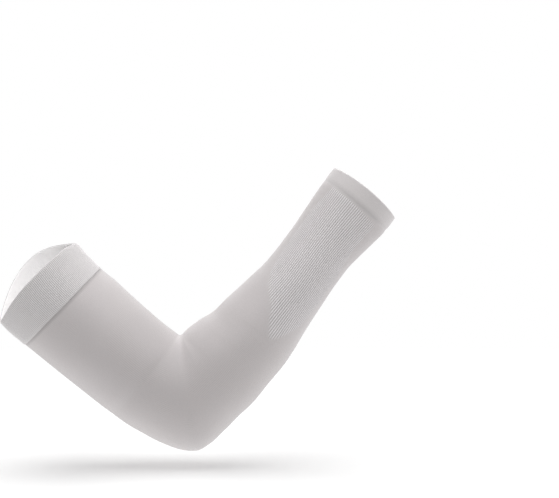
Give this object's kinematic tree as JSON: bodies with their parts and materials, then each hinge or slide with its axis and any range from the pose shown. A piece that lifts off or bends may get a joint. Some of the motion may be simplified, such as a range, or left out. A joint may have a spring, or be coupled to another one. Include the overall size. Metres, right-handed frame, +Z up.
{
  "type": "arm sleeve",
  "caption": "Long knitted sun and cooling sleeve for the arm, in the shape it takes on a bent arm: a doubled ribbed band, a plain elbow, a ribbed forearm and a turned hem at the wrist.",
  "frame": {"origin": "middle of the elbow inside the sleeve, where the bent arm holds it (mount arm_seat)", "axes": "+X from the upper arm towards the wrist end, +Y towards the inner side of the arm, +Z up; the arm bends in the XZ plane"},
  "size_m": [0.347, 0.1024, 0.2503],
  "materials": {
    "band_knit": "pale grey nylon and elastane rib knit in two layers, fine ribs along the arm, soft sheen",
    "plain_knit": "pale grey smooth plain knit of nylon and elastane, matt with a soft silky sheen at grazing angles",
    "rib_knit": "pale grey open rib knit, dark grooves between raised ribs along the forearm",
    "hem_knit": "pale grey plain knit, turned in and doubled at the wrist"
  },
  "bodies": {
    "root": {"upper_arm_band": "band_knit", "plain_body": "plain_knit", "ribbed_forearm": "rib_knit", "wrist_hem": "hem_knit"}
  },
  "joints": []
}
